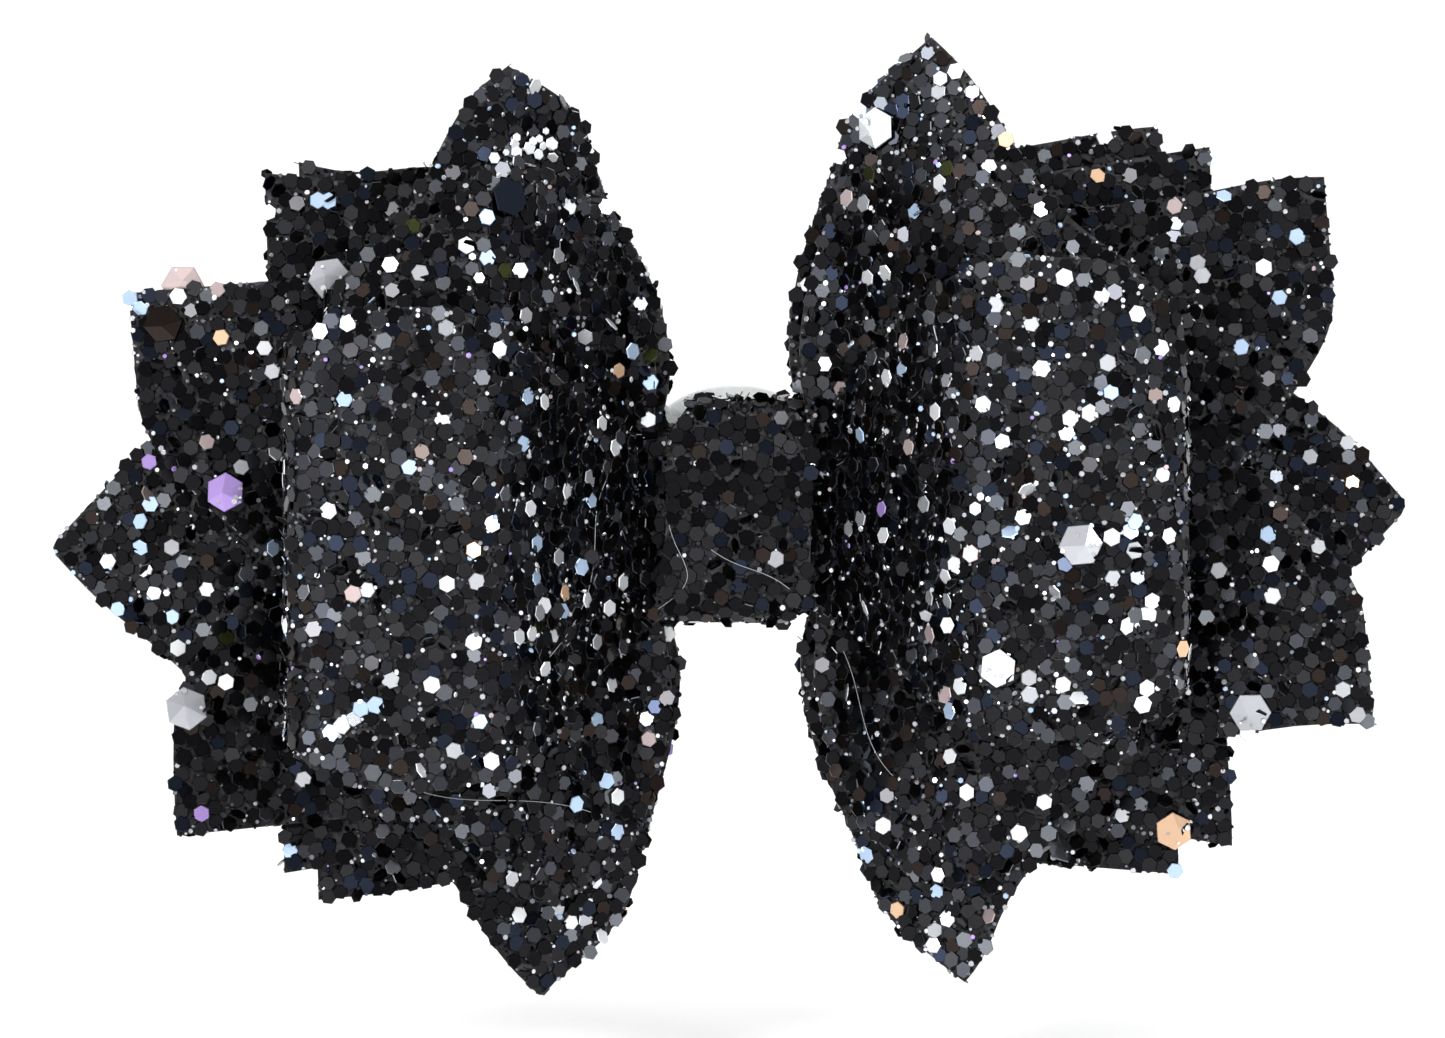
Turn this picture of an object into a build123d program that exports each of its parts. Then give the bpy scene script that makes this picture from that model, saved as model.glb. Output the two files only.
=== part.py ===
"""Cheer hair bow: stacked loops and tails of glitter sheet, pinched by a centre wrap, on a sprung clip.

Frame: +X along the bow's width, to the right as seen from the front; +Z up; the front faces -Y.
The origin lies in the mouth of the closed clip, 0.4 mm off its lined arm, behind the knot.
"""
from build123d import *
from math import cos, radians, sin
import os

# ---- driving dimensions, mm -------------------------------------------------------------------
SHEET = 1.0  # thickness of the glitter sheet
PITCH = 1.2  # from one sheet to the next inside the knot
NECK_X = 7.0  # the sheets are flat and narrow this far out from the middle
NECK_Z = 8.2  # half height of every sheet inside the knot
BUTT_GAP = 0.2  # half the gap where a loop strip's two ends meet behind the knot
REACH = 80.0  # longer than anything on the bow, for cutting prisms

REAR_TAIL_Y = -7.15  # middle of the rearmost sheet in the knot
TIP_X = 63.5  # half length of the pointed tails

THREAD_D = 0.5
THREAD_TURNS = 7
WRAP_HALF_WIDTH = 6.6
WRAP_HALF_TOP = 4.9
WRAP_FRONT_Y = -19.6
WRAP_REAR_Y = -5.5
WRAP_FLAP_Y = -4.25
WRAP_Z = 9.35
WRAP_BEND = 1.5
WRAP_MARGIN = 0.35

FELT_R = 11.0
FELT_RISE = 0.8
FELT_FRONT_Y = -3.55
FELT_REAR_Y = -2.45

STEEL = 0.76  # clip arms
ARM_Y = -1.15  # middle of the fixed arm
ARM_HALF_WIDTH = 4.5
NOSE_X = -27.0
TAB_X = 22.5
TAB_BEND = 12.0  # degrees that the fixed thumb tab leans towards the bow
RIBBON = 0.38
RIBBON_HALF_WIDTH = 5.0

PIVOT_X = 12.0
PIVOT_Y = 2.6
PIN_R = 0.75
PIN_CLEARANCE = 0.05
EAR_R = 2.6
FIXED_EAR = (3.7, 4.5)  # inner and outer face of each ear, from the middle
JAW_EAR = (2.5, 3.3)
JAW_TAB_ANGLE = 26.0
JAW_TAB_OFFSET = 2.4  # from the pivot to the middle of the jaw's thumb tab
JAW_TAB_LENGTH = 12.5
TOOTH_TIP_Y = 0.05
TOOTH_PITCH = 1.5
TOOTH_COUNT = 6
SPRING_R = 1.45
SPRING_WIRE_R = 0.225
SPRING_PITCH = 0.75

# Middle of each sheet inside the knot, from the rear to the front.
KNOT_ORDER = (
    "pointed_tails",
    "rear_square_tails",
    "front_square_tails",
    "notched_tails",
    "petal_loops_rear",
    "petal_loops_front",
    "arched_loops_rear",
    "arched_loops_front",
    "front_loops_rear",
    "front_loops_front",
)
KNOT_Y = {name: REAR_TAIL_Y - PITCH * i for i, name in enumerate(KNOT_ORDER)}


# ---- helpers ----------------------------------------------------------------------------------
def tilted_plane(degrees, shift_x=0.0, shift_z=0.0):
    """The bow's front plane, turned anticlockwise as seen from the front, and shifted."""
    across = (cos(radians(degrees)), 0, sin(radians(degrees)))
    return Plane(origin=(shift_x, 0, shift_z), x_dir=across, z_dir=(0, -1, 0))


def neck_line():
    """The straight edge inside the knot, which every outline starts with."""
    Line((0, NECK_Z), (NECK_X, NECK_Z))


def four_way_outline(plane, quarter):
    """The face that a quarter outline makes with its left, lower and opposite copies."""
    with BuildSketch(plane) as sketch:
        with BuildLine():
            quarter()
            mirror(about=Plane.YZ)
            mirror(about=Plane.XZ)
        make_face()
    return sketch.sketch


def sheet_section(points, radii):
    """A sheet's section from above: its right half, from the middle outwards, and its mirror."""
    with BuildSketch(Plane.XY) as sketch:
        with BuildLine():
            FilletPolyline(*points, radius=radii)
            mirror(about=Plane.YZ)
        trace(line_width=SHEET)
    return sketch.sketch


# ---- outlines, one quarter each, in the sheet's own plane ---------------------------------------
def pointed_quarter():
    """A strip that ends in a right-angled spear tip."""
    half_height = 15.0
    shoulder = TIP_X - half_height
    neck_line()
    Spline((NECK_X, NECK_Z), (16, 13.2), (30, half_height), tangents=[(1, 1), (1, 0)])
    Line((30, half_height), (shoulder, half_height))
    Line((shoulder, half_height), (TIP_X - 0.8, 0.8))
    Line((TIP_X - 0.8, 0.8), (TIP_X - 0.4, 0))


def rear_square_quarter():
    neck_line()
    Spline((NECK_X, NECK_Z), (13, 21), (20, 30), (27, 33.2), tangents=[(1, 2), (10, 1)])
    Line((27, 33.2), (39.9, 34.5))
    Line((39.9, 34.5), (39.9, 0))


def front_square_quarter():
    neck_line()
    Spline((NECK_X, NECK_Z), (13, 19), (21, 27.5), (30, 30.6), tangents=[(1, 2), (8, 1)])
    Line((30, 30.6), (43.6, 32.3))
    Line((43.6, 32.3), (43.6, 0))


def notched_quarter():
    """A wide strip with a V cut into its end, whose arms have rounded flanks."""
    half_height, half_width, notch_x = 24.9, 54.9, 45.2
    neck_line()
    Spline((NECK_X, NECK_Z), (12, 17), (20, 23.4), (29, half_height), tangents=[(1, 2), (1, 0)])
    Line((29, half_height), (half_width, half_height))
    Line((half_width, half_height), (half_width, 15.5))
    Spline((half_width, 15.5), (51.6, 7.6), (notch_x, 0), tangents=[(0, -1), (-1, -1)])


def petal_quarter():
    """A leaf shape that runs up to a point above the loop's widest place."""
    neck_line()
    Spline(
        (NECK_X, NECK_Z),
        (5.7, 12),
        (5.7, 18),
        (7.6, 26.3),
        (10.4, 34.2),
        (13.4, 38.4),
        tangents=[(-1, 2), (1, 1.1)],
    )
    Line((13.4, 38.4), (19.3, 42.9))
    Spline((19.3, 42.9), (22.6, 39), (26, 33.2), (31, 26), (38, 20.5), tangents=[(1, -1), (4, -3)])
    Line((38, 20.5), (38, 0))


def arched_quarter():
    """A round-topped lobe."""
    neck_line()
    Spline(
        (NECK_X, NECK_Z),
        (6.6, 13),
        (7.6, 21),
        (10.4, 28),
        (14.4, 32),
        (19.2, 33.1),
        (23.4, 30.4),
        (27.4, 24.8),
        (36.5, 17.6),
        tangents=[(0, 1), (4, -3)],
    )
    Line((36.5, 17.6), (36.5, 0))


def front_quarter():
    """A rounded rectangle that narrows into the knot."""
    neck_line()
    Spline(
        (NECK_X, NECK_Z),
        (12.8, 12.8),
        (19, 19),
        (25, 20.9),
        (32, 20.5),
        (37.4, 18.6),
        (40.6, 14.8),
        tangents=[(1, 0.6), (2, -3)],
    )
    Line((40.6, 14.8), (40.6, 0))


def wrap_front_outline(margin=0.0):
    """The wrap from the front: full width at the front, drawn in at the top and the bottom."""
    top_x = WRAP_HALF_TOP + margin
    side_x = WRAP_HALF_WIDTH + margin
    with BuildSketch(tilted_plane(-1.5, 0.3)) as sketch:
        with BuildLine():
            Line((0, 11), (top_x, 11))
            Line((top_x, 11), (top_x, 9.2))
            Line((top_x, 9.2), (side_x, 6.6))
            Line((side_x, 6.6), (side_x, 0))
            mirror(about=Plane.YZ)
            mirror(about=Plane.XZ)
        make_face()
        fillet(sketch.vertices().filter_by(lambda v: 6 < abs(v.Z) < 10), 2)
    return sketch.sketch


def knot_room():
    """The room that the thread and the wrap's top and bottom walls need beside every sheet."""
    with BuildPart() as room:
        extrude(wrap_front_outline(WRAP_MARGIN), amount=REACH, both=True)
        Box(4 * NECK_X, 2 * REACH, 2 * NECK_Z, mode=Mode.SUBTRACT)
    return room.part


KNOT_ROOM = knot_room()


# ---- tails: flat sheets, the rearmost first -------------------------------------------------------
with BuildPart() as pointed_tails:
    pointed_y = KNOT_Y["pointed_tails"]
    extrude(
        sheet_section([(0, pointed_y), (14, pointed_y), (66, -5.0)], 150), amount=REACH, both=True
    )
    extrude(
        four_way_outline(tilted_plane(1.6, -0.5, -1.6), pointed_quarter),
        amount=REACH,
        both=True,
        mode=Mode.INTERSECT,
    )
    add(KNOT_ROOM, mode=Mode.SUBTRACT)
pointed_tails.part.label = "pointed_tails"

with BuildPart() as rear_square_tails:
    rear_square_y = KNOT_Y["rear_square_tails"]
    extrude(
        sheet_section([(0, rear_square_y), (12, rear_square_y), (43, -8.8)], 150),
        amount=REACH,
        both=True,
    )
    extrude(
        four_way_outline(tilted_plane(1.6, 0.3, -0.4), rear_square_quarter),
        amount=REACH,
        both=True,
        mode=Mode.INTERSECT,
    )
    add(KNOT_ROOM, mode=Mode.SUBTRACT)
rear_square_tails.part.label = "rear_square_tails"

with BuildPart() as front_square_tails:
    front_square_y = KNOT_Y["front_square_tails"]
    extrude(
        sheet_section([(0, front_square_y), (12, front_square_y), (47, -11.0)], 150),
        amount=REACH,
        both=True,
    )
    extrude(
        four_way_outline(tilted_plane(1.6, 1.1), front_square_quarter),
        amount=REACH,
        both=True,
        mode=Mode.INTERSECT,
    )
    add(KNOT_ROOM, mode=Mode.SUBTRACT)
front_square_tails.part.label = "front_square_tails"

with BuildPart() as notched_tails:
    notched_y = KNOT_Y["notched_tails"]
    extrude(
        sheet_section([(0, notched_y), (12, notched_y), (36, -12.3), (60, -16.2)], [150, 80]),
        amount=REACH,
        both=True,
    )
    extrude(
        four_way_outline(tilted_plane(5.2, 1.4), notched_quarter),
        amount=REACH,
        both=True,
        mode=Mode.INTERSECT,
    )
    add(KNOT_ROOM, mode=Mode.SUBTRACT)
notched_tails.part.label = "notched_tails"

# ---- loops: strips folded over on each side, each nested on the one behind ------------------------
with BuildPart() as petal_loops:
    petal_path = [
        (BUTT_GAP, KNOT_Y["petal_loops_rear"]),
        (11, KNOT_Y["petal_loops_rear"]),
        (36.5, -15.2),
        (36.5, -20.4),
        (22.6, -20.3),
        (9.2, KNOT_Y["petal_loops_front"]),
        (0, KNOT_Y["petal_loops_front"]),
    ]
    extrude(sheet_section(petal_path, [40, 2.3, 2.4, 12, 4]), amount=REACH, both=True)
    extrude(
        four_way_outline(tilted_plane(2.0, 0, -0.6), petal_quarter),
        amount=REACH,
        both=True,
        mode=Mode.INTERSECT,
    )
    add(KNOT_ROOM, mode=Mode.SUBTRACT)
petal_loops.part.label = "petal_loops"

with BuildPart() as arched_loops:
    arched_path = [
        (BUTT_GAP, KNOT_Y["arched_loops_rear"]),
        (8.9, KNOT_Y["arched_loops_rear"]),
        (22.2, -21.6),
        (34.5, -22.3),
        (34.5, -27.4),
        (22.4, -27.3),
        (8.6, KNOT_Y["arched_loops_front"]),
        (0, KNOT_Y["arched_loops_front"]),
    ]
    extrude(sheet_section(arched_path, [4, 10, 2.3, 2.4, 10, 4]), amount=REACH, both=True)
    extrude(
        four_way_outline(tilted_plane(2.8, 0, -1.2), arched_quarter),
        amount=REACH,
        both=True,
        mode=Mode.INTERSECT,
    )
    add(KNOT_ROOM, mode=Mode.SUBTRACT)
arched_loops.part.label = "arched_loops"

with BuildPart() as front_loops:
    front_path = [
        (BUTT_GAP, KNOT_Y["front_loops_rear"]),
        (8.1, KNOT_Y["front_loops_rear"]),
        (22.1, -28.7),
        (38.8, -29.6),
        (38.8, -36.4),
        (31, -38.0),
        (20.6, -36.2),
        (8.2, KNOT_Y["front_loops_front"]),
        (0, KNOT_Y["front_loops_front"]),
    ]
    extrude(sheet_section(front_path, [4, 10, 3, 3, 16, 10, 3]), amount=REACH, both=True)
    extrude(
        four_way_outline(tilted_plane(4.6, -0.6, -1.3), front_quarter),
        amount=REACH,
        both=True,
        mode=Mode.INTERSECT,
    )
    add(KNOT_ROOM, mode=Mode.SUBTRACT)
front_loops.part.label = "front_loops"


# ---- the knot ------------------------------------------------------------------------------------
with BuildPart() as layer_glue:
    # One glue patch between each sheet and the next.
    with Locations(*[(0, KNOT_Y[name] - PITCH / 2, 0) for name in KNOT_ORDER[:-1]]):
        Box(7, PITCH - SHEET, 10)
layer_glue.part.label = "layer_glue"

STACK_REAR = REAR_TAIL_Y + SHEET / 2
STACK_FRONT = KNOT_Y["front_loops_front"] - SHEET / 2
THREAD_GAP = 0.05

with BuildPart() as binding_thread:
    reach = THREAD_GAP + THREAD_D / 2
    for turn in range(THREAD_TURNS):
        x = (turn - (THREAD_TURNS - 1) / 2) * (THREAD_D + 0.02)
        with BuildSketch(Plane.YZ.offset(x - THREAD_D / 2)) as ring:
            with Locations(((STACK_REAR + STACK_FRONT) / 2, 0)):
                RectangleRounded(
                    STACK_REAR - STACK_FRONT + 2 * reach + THREAD_D,
                    2 * (NECK_Z + reach) + THREAD_D,
                    0.7,
                )
                RectangleRounded(
                    STACK_REAR - STACK_FRONT + 2 * reach - THREAD_D,
                    2 * (NECK_Z + reach) - THREAD_D,
                    0.2,
                    mode=Mode.SUBTRACT,
                )
        extrude(amount=THREAD_D)
binding_thread.part.label = "binding_thread"

with BuildPart() as centre_wrap:
    # A strip that starts behind the knot, goes once round it and laps over its own start.
    with BuildSketch(Plane.YZ) as wrap_section:
        with BuildLine():
            FilletPolyline(
                (WRAP_REAR_Y, -6.8),
                (WRAP_REAR_Y, WRAP_Z),
                (WRAP_FRONT_Y, WRAP_Z),
                (WRAP_FRONT_Y, -WRAP_Z),
                (WRAP_FLAP_Y, -WRAP_Z),
                (WRAP_FLAP_Y, 4),
                radius=WRAP_BEND,
            )
        trace(line_width=SHEET)
    extrude(amount=WRAP_HALF_WIDTH + 2, both=True)
    extrude(wrap_front_outline(), amount=REACH, both=True, mode=Mode.INTERSECT)
centre_wrap.part.label = "centre_wrap"

with BuildPart() as wrap_glue:
    glue_rear = WRAP_FLAP_Y - SHEET / 2
    glue_front = WRAP_REAR_Y + SHEET / 2
    with Locations((0, (glue_rear + glue_front) / 2, -1.2)):
        Box(8.5, glue_rear - glue_front, 8.6)
wrap_glue.part.label = "wrap_glue"

with BuildPart() as felt_patch:
    with BuildSketch(Plane.XZ.offset(-FELT_REAR_Y)):
        with Locations((0, FELT_RISE)):
            Circle(FELT_R)
    extrude(amount=FELT_REAR_Y - FELT_FRONT_Y)
    fillet(felt_patch.edges().filter_by(GeomType.CIRCLE), 0.3)
felt_patch.part.label = "felt_patch"

with BuildPart() as felt_glue:
    felt_glue_rear = FELT_FRONT_Y
    felt_glue_front = WRAP_FLAP_Y + SHEET / 2
    with Locations((0, (felt_glue_rear + felt_glue_front) / 2, -1.5)):
        Box(8.5, felt_glue_rear - felt_glue_front, 9)
felt_glue.part.label = "felt_glue"


# ---- the clip --------------------------------------------------------------------------------------
RIBBON_FRONT_Y = ARM_Y - STEEL / 2 - RIBBON

with BuildPart() as clip_glue:
    # A flattened bead that squeezes out a little past the ribbon.
    with BuildSketch(Plane.XZ.offset(-RIBBON_FRONT_Y)):
        with Locations((-1, 0)):
            SlotOverall(17, 8.4)
    extrude(amount=RIBBON_FRONT_Y - FELT_REAR_Y)
    fillet(clip_glue.edges().group_by(Axis.Y)[0], 0.2)
clip_glue.part.label = "clip_glue"


def strip_outline(points, radii):
    """A stamped strip from the front: its upper edge, nose to tab, and the mirrored lower one."""
    with BuildSketch(Plane.XZ) as sketch:
        with BuildLine():
            FilletPolyline(*points, radius=radii)
            mirror(about=Plane.XZ)
        make_face()
    return sketch.sketch


def fixed_arm_outline():
    """The fixed arm: a rounded nose, full width at the ears and a broad rounded tab."""
    ear_start = PIVOT_X - EAR_R - 0.6
    ear_end = PIVOT_X + EAR_R + 0.6
    points = [
        (NOSE_X, 0),
        (NOSE_X, 3.4),
        (ear_start - 1.3, 4.1),
        (ear_start, ARM_HALF_WIDTH),
        (ear_end, ARM_HALF_WIDTH),
        (ear_end + 2.2, 5.2),
        (TAB_X, 5.2),
        (TAB_X, 0),
    ]
    return strip_outline(points, [3, 3, 1, 1.5, 1.5, 3.6])


def ear_outline(base_y):
    """An ear from the side: a round lobe about the pivot on a foot that meets its arm."""
    with BuildSketch(Plane.XY) as sketch:
        with Locations((PIVOT_X, PIVOT_Y)):
            Circle(EAR_R)
        with Locations((PIVOT_X, (PIVOT_Y + base_y) / 2)):
            Rectangle(2 * EAR_R, abs(PIVOT_Y - base_y))
    return sketch.sketch


def ear_pair(outline, faces):
    """The two ears of an arm, one each side of the middle."""
    inner, outer = faces
    with BuildPart() as ears:
        with BuildSketch(Plane.XY.offset(inner)):
            add(outline)
        extrude(amount=outer - inner)
        mirror(about=Plane.XY)
    return ears.part


def pivot_hole(radius):
    """A bar along the pivot, for cutting the ears' holes."""
    with BuildPart() as bar:
        with BuildSketch(Plane.XY):
            with Locations((PIVOT_X, PIVOT_Y)):
                Circle(radius)
        extrude(amount=ARM_HALF_WIDTH + 1, both=True)
    return bar.part


with BuildPart() as clip_base:
    # The fixed arm, which the bow is glued to: a strip, a bent thumb tab and two ears.
    tab_length = TAB_X - PIVOT_X - 3.2
    tab_end = (TAB_X + 1, ARM_Y - (tab_length + 1) * sin(radians(TAB_BEND)))
    with BuildSketch(Plane.XY):
        with BuildLine():
            FilletPolyline((NOSE_X - 1, ARM_Y), (PIVOT_X + 3.2, ARM_Y), tab_end, radius=6)
        trace(line_width=STEEL)
    extrude(amount=ARM_HALF_WIDTH + 2, both=True)
    extrude(fixed_arm_outline(), amount=REACH, both=True, mode=Mode.INTERSECT)
    add(ear_pair(ear_outline(ARM_Y), FIXED_EAR))
    add(pivot_hole(PIN_R), mode=Mode.SUBTRACT)
clip_base.part.label = "clip_base"


def jaw_tab_point(along, offset=JAW_TAB_OFFSET):
    """A point on the jaw's thumb tab, so far along it from beside the pivot."""
    turn = radians(JAW_TAB_ANGLE)
    x = PIVOT_X + along * cos(turn) - offset * sin(turn)
    return (x, PIVOT_Y + along * sin(turn) + offset * cos(turn))


def jaw_outline():
    """The jaw: a narrow prong with a rounded nose, and a broad rounded thumb tab."""
    nose = NOSE_X + 0.6
    tab_start = PIVOT_X + 4.4
    tab_tip = jaw_tab_point(JAW_TAB_LENGTH)[0]
    width = JAW_EAR[1]
    points = [
        (nose, 0),
        (nose, 2.5),
        (PIVOT_X - 4, width),
        (tab_start, width),
        (tab_start + 2.2, 4.8),
        (tab_tip, 4.8),
        (tab_tip, 0),
    ]
    return strip_outline(points, [2.2, 15, 1, 0.8, 2.8])


def jaw_flank():
    """A toothed flange from the side, whose upper edge runs inside the prong's thickness."""
    first_x = NOSE_X + 1.2
    root_y = TOOTH_TIP_Y + 1.2
    teeth = [(first_x, root_y)]
    for i in range(TOOTH_COUNT):
        teeth.append((first_x + (i + 0.5) * TOOTH_PITCH, TOOTH_TIP_Y))
        teeth.append((first_x + (i + 1) * TOOTH_PITCH, root_y))
    last_x = teeth[-1][0]
    with BuildSketch(Plane.XY) as sketch:
        with BuildLine():
            Polyline(*teeth, (last_x, 5.1), (-18.5, 4.8), (first_x, 1.85), (first_x, root_y))
        make_face()
    return sketch.sketch


def toothed_flanges():
    """The two flanges with teeth, one along each edge of the prong."""
    with BuildPart() as flanges:
        with BuildSketch(Plane.XY.offset(1.75)):
            add(jaw_flank())
        extrude(amount=0.7)
        mirror(about=Plane.XY)
    return flanges.part


with BuildPart() as clip_jaw:
    # The moving arm: an arched prong with teeth under its nose, two ears and a thumb tab.
    with BuildSketch(Plane.XY):
        with BuildLine():
            FilletPolyline(
                jaw_tab_point(JAW_TAB_LENGTH + 1),
                jaw_tab_point(-0.4),
                (-6, 6.3),
                (-18.5, 5.0),
                (NOSE_X - 0.4, 1.2),
                radius=[4, 40, 14],
            )
        trace(line_width=STEEL)
    extrude(amount=ARM_HALF_WIDTH + 2, both=True)
    extrude(jaw_outline(), amount=REACH, both=True, mode=Mode.INTERSECT)
    add(ear_pair(ear_outline(jaw_tab_point(-0.4)[1]), JAW_EAR))
    add(toothed_flanges())
    add(pivot_hole(PIN_R + PIN_CLEARANCE), mode=Mode.SUBTRACT)
clip_jaw.part.label = "clip_jaw"

with BuildPart() as pivot_pin:
    # A rivet: a shank through all four ears with a head outside each fixed ear.
    with BuildSketch(Plane.XY.offset(-FIXED_EAR[1])):
        with Locations((PIVOT_X, PIVOT_Y)):
            Circle(PIN_R)
    extrude(amount=2 * FIXED_EAR[1])
    for side in (-1, 1):
        with BuildSketch(Plane.XY.offset(side * FIXED_EAR[1])):
            with Locations((PIVOT_X, PIVOT_Y)):
                Circle(1.35)
        extrude(amount=side * 0.5)
    fillet(pivot_pin.edges().group_by(Axis.Z)[0] + pivot_pin.edges().group_by(Axis.Z)[-1], 0.3)
pivot_pin.part.label = "pivot_pin"

SPRING_START = JAW_TAB_ANGLE + 90
SPRING_END = -TAB_BEND - 94
SPRING_TURNS = 4 + ((SPRING_END - SPRING_START) % 360) / 360
SPRING_LENGTH = SPRING_TURNS * SPRING_PITCH
SPRING_LEG = 8.5
COIL_PLACE = Location((PIVOT_X, PIVOT_Y, -SPRING_LENGTH / 2), (0, 0, SPRING_START))
COIL = COIL_PLACE * Helix(pitch=SPRING_PITCH, height=SPRING_LENGTH, radius=SPRING_R)


with BuildPart() as clip_spring:
    # One wire: a leg on the fixed tab, a coil about the pin and a leg under the jaw's tab.
    with BuildLine() as spring_path:
        add(COIL)
        Line(COIL @ 0, COIL @ 0 - (COIL % 0) * SPRING_LEG)
        Line(COIL @ 1, COIL @ 1 + (COIL % 1) * SPRING_LEG)
    with BuildSketch(Plane(origin=COIL @ 0 - (COIL % 0) * SPRING_LEG, z_dir=COIL % 0)):
        Circle(SPRING_WIRE_R)
    sweep(path=spring_path.wires()[0])
clip_spring.part.label = "clip_spring"

with BuildPart() as clip_ribbon:
    # A ribbon folded round the fixed arm's nose, which lines both its faces.
    inner_gap = (STEEL + RIBBON) / 2
    nose_x = NOSE_X - 0.25
    with BuildSketch(Plane.XY):
        with BuildLine():
            Line((PIVOT_X - 4.2, ARM_Y - inner_gap), (nose_x, ARM_Y - inner_gap))
            ThreePointArc(
                (nose_x, ARM_Y - inner_gap),
                (nose_x - inner_gap, ARM_Y),
                (nose_x, ARM_Y + inner_gap),
            )
            Line((nose_x, ARM_Y + inner_gap), (PIVOT_X - 5.2, ARM_Y + inner_gap))
        trace(line_width=RIBBON)
    extrude(amount=RIBBON_HALF_WIDTH, both=True)
clip_ribbon.part.label = "clip_ribbon"


# ---- one STEP file for each piece --------------------------------------------------------------------
os.makedirs("parts", exist_ok=True)
for piece in (
    pointed_tails,
    rear_square_tails,
    front_square_tails,
    notched_tails,
    petal_loops,
    arched_loops,
    front_loops,
    layer_glue,
    binding_thread,
    centre_wrap,
    wrap_glue,
    felt_patch,
    felt_glue,
    clip_glue,
    clip_base,
    clip_jaw,
    pivot_pin,
    clip_spring,
    clip_ribbon,
):
    export_step(piece.part, f"parts/{piece.part.label}.step")
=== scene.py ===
import math

import bmesh
import bpy
import numpy as np
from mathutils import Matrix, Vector
from mathutils.bvhtree import BVHTree
from mathutils.kdtree import KDTree


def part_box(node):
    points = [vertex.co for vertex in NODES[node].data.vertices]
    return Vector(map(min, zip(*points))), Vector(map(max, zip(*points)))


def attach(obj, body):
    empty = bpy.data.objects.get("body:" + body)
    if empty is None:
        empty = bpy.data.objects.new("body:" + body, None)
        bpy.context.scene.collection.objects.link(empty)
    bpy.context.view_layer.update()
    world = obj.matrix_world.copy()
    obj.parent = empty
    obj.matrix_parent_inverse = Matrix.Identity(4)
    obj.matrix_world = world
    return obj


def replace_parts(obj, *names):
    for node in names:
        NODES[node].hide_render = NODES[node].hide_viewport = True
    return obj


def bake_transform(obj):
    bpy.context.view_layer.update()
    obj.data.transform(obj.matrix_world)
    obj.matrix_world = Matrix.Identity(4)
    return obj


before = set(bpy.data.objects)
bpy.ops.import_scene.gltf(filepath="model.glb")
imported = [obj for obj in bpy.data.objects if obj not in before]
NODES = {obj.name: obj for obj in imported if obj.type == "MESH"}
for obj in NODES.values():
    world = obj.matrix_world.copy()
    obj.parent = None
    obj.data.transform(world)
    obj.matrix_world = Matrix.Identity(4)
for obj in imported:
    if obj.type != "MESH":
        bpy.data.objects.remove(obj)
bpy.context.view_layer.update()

MM = 0.001
BOW, JAW = "bow", "jaw"
SHEET_T = 1.0 * MM
RIBBON_T = 0.38 * MM
GLITTER, BACKING, CUT = 0, 1, 2

TAILS = ("pointed_tails", "rear_square_tails", "front_square_tails", "notched_tails")
LOOPS = ("petal_loops", "arched_loops", "front_loops")

# How common pale flakes are on a sheet, against the loops: painted light where above 1 and painted
# shade where below 1, as the foil itself is alike on every sheet.
SHEET_PAINTED_LIGHT = {
    "petal_loops": 2.1,
    "front_loops": 1.4,
    "pointed_tails": 1.2,
    "rear_square_tails": 0.8,
    "front_square_tails": 0.8,
    "notched_tails": 0.8,
    "centre_wrap": 0.2,
}


# ---- camera --------------------------------------------------------------------------------------
def make_camera():
    data = bpy.data.cameras.new("camera")
    data.sensor_width = 36
    data.lens = 119.8
    data.clip_start = 0.01
    cam = bpy.data.objects.new("camera", data)
    cam.location = (-1.17 * MM, -455 * MM, -0.84 * MM)
    cam.rotation_euler = (math.radians(90), 0, 0)
    bpy.context.scene.collection.objects.link(cam)
    bpy.context.scene.camera = cam


# ---- material helpers ----------------------------------------------------------------------------
def new_material(name, **values):
    mat = bpy.data.materials.new(name)
    mat.use_nodes = True
    shader = mat.node_tree.nodes["Principled BSDF"]
    for socket, value in values.items():
        socket = socket.replace("_", " ")
        if isinstance(value, tuple):
            value = (*value, 1.0)
        shader.inputs[socket].default_value = value
    return mat, mat.node_tree, shader


def node(tree, kind, **values):
    n = tree.nodes.new(kind)
    for key, value in values.items():
        key = key.replace("_", " ")
        if key in n.inputs:
            n.inputs[key].default_value = value
        else:
            setattr(n, key.replace(" ", "_"), value)
    return n


def object_coords(tree, scale=(1, 1, 1)):
    """Coordinates in millimetres, times a scale on each axis."""
    coords = tree.nodes.new("ShaderNodeTexCoord")
    mapping = tree.nodes.new("ShaderNodeMapping")
    mapping.inputs["Scale"].default_value = [1000 * s for s in scale]
    tree.links.new(coords.outputs["Object"], mapping.inputs["Vector"])
    return mapping.outputs["Vector"]


def ramp(tree, value, stops, constant=False):
    n = tree.nodes.new("ShaderNodeValToRGB")
    if constant:
        n.color_ramp.interpolation = "CONSTANT"
    elements = n.color_ramp.elements
    while len(elements) < len(stops):
        elements.new(0.5)
    for element, (place, colour) in zip(elements, stops):
        element.position = place
        element.color = (*colour, 1.0)
    tree.links.new(value, n.inputs["Fac"])
    return n.outputs["Color"]


def add_bump(tree, shader, height, strength, distance):
    bump = tree.nodes.new("ShaderNodeBump")
    bump.inputs["Strength"].default_value = strength
    bump.inputs["Distance"].default_value = distance
    tree.links.new(height, bump.inputs["Height"])
    tree.links.new(bump.outputs["Normal"], shader.inputs["Normal"])


def blend_colours(tree, factor, first, second, kind="MIX"):
    """Mixes two colours; each is a socket or a tuple."""
    n = tree.nodes.new("ShaderNodeMix")
    n.data_type = "RGBA"
    n.blend_type = kind
    for socket, value in ((n.inputs[0], factor), (n.inputs[6], first), (n.inputs[7], second)):
        if isinstance(value, bpy.types.NodeSocket):
            tree.links.new(value, socket)
        elif isinstance(value, tuple):
            socket.default_value = (*value, 1.0)
        else:
            socket.default_value = value
    return n.outputs[2]


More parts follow.
